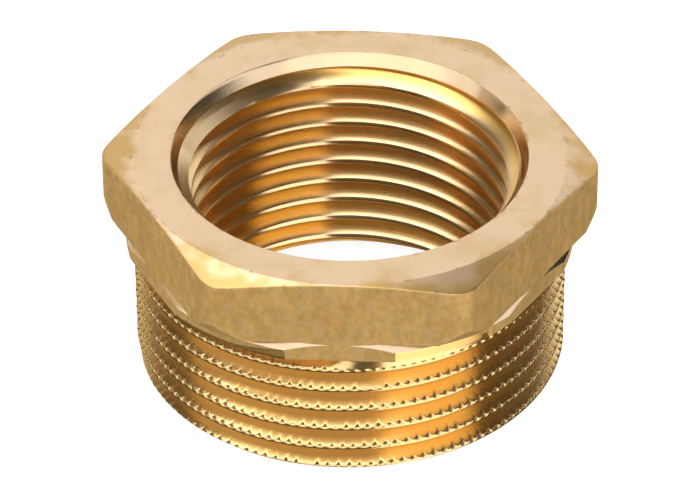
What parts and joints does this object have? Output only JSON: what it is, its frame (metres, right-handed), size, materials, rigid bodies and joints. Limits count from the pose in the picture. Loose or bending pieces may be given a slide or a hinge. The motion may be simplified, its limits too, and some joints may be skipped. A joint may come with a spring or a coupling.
{
  "type": "hex bushing",
  "caption": "Brass hexagon reducing bushing that joins a smaller male pipe end to a larger female one, with a flat hexagon head, a turned collar and a serrated outside thread",
  "frame": {"origin": "centre of the threaded end face, on the bore's axis", "axes": "+Z runs along the bore from the threaded end to the hexagon head; two corners of the hexagon lie on X and two flats face -Y and +Y"},
  "size_m": [0.0476, 0.0422, 0.0226],
  "materials": {
    "brass": "satin"
  },
  "bodies": {
    "root": {"hex_bushing": "brass"}
  },
  "joints": []
}
